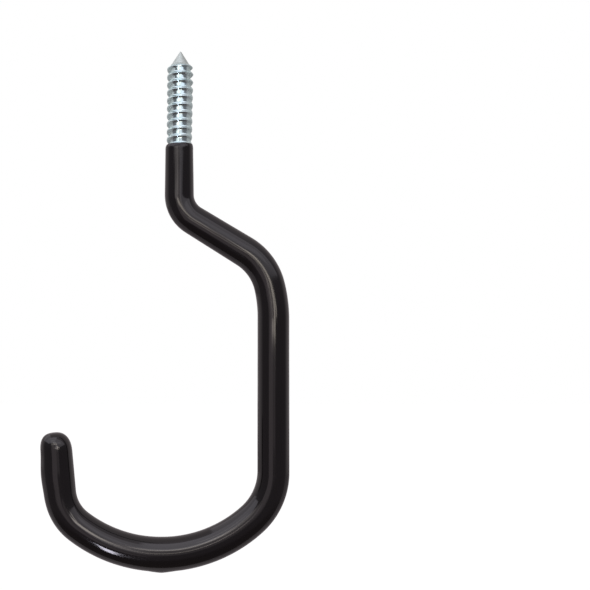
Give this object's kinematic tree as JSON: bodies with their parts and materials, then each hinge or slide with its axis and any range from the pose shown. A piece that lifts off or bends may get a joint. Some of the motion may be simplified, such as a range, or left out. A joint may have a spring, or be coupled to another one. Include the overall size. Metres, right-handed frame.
{
  "type": "bicycle storage hook",
  "caption": "Vinyl-coated steel hook with a wood-screw thread and an offset shank, driven into a ceiling joist or a wall stud to hang a bicycle by its wheel.",
  "frame": {"origin": "on the screw's axis, in the plane where the coat's collar ends under the thread, which is where the hook seats against the timber", "axes": "+Z along the screw to its point, +X from the screw towards the hook's shank, Y square to the flat plane that the hook is bent in, and the hook hangs towards -Z as it does from a ceiling"},
  "size_m": [0.081, 0.0112, 0.1694],
  "materials": {
    "zinc_plated_steel": "bright zinc plate on cold-drawn steel with a rolled thread",
    "black_vinyl": "glossy black dip-coated PVC"
  },
  "bodies": {
    "root": {"threaded_rod": "zinc_plated_steel", "vinyl_coating": "black_vinyl"}
  },
  "joints": []
}
